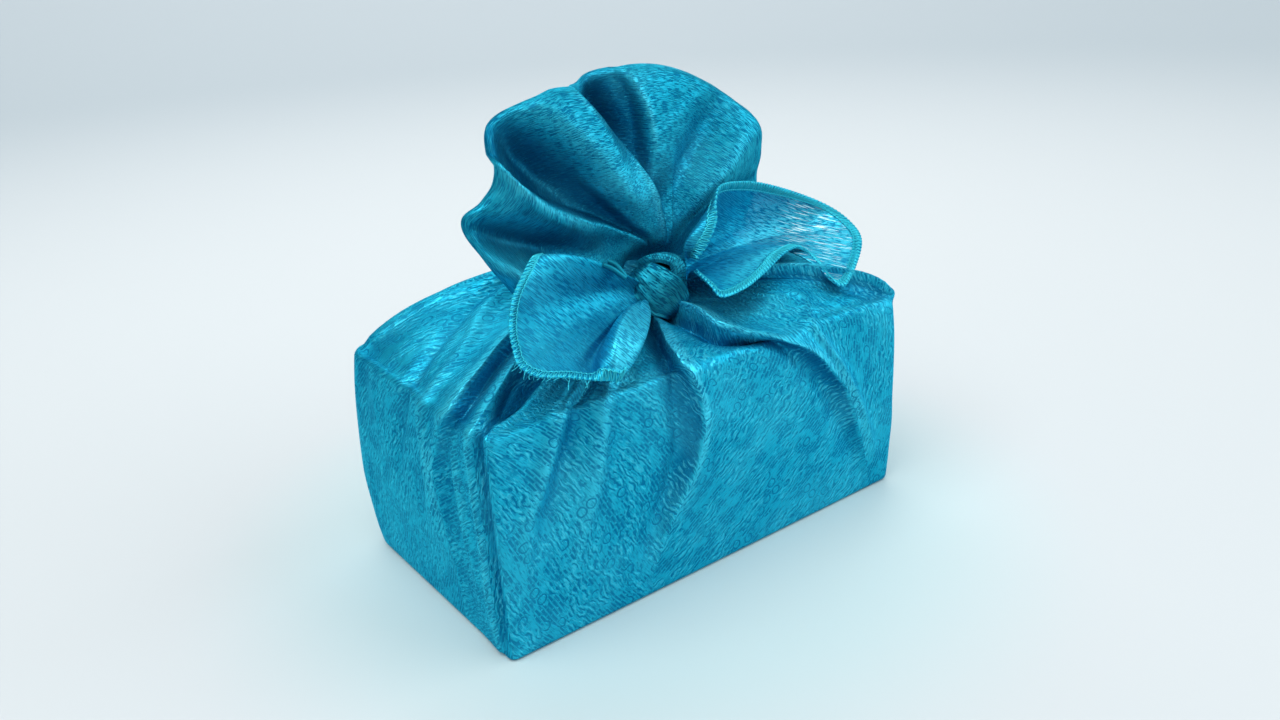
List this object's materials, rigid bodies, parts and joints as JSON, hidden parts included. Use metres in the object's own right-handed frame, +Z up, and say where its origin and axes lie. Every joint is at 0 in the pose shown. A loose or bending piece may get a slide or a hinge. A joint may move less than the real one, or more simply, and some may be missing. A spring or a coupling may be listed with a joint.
{
  "type": "furoshiki-wrapped box",
  "caption": "Satin furoshiki cloth wrapped round a box, gathered and knotted on top, with a fan-shaped loop standing behind the knot and hemmed tails at the sides.",
  "frame": {"origin": "middle of the flat bottom, under the middle of the wrapped box", "axes": "+X along the long side of the box, +Z up, the front long side faces -Y"},
  "size_m": [0.2102, 0.1265, 0.19],
  "materials": {
    "cloth": "thin satin jacquard, turquoise, with a paler overlocked hem"
  },
  "bodies": {
    "root": {"furoshiki": "cloth"}
  },
  "joints": []
}
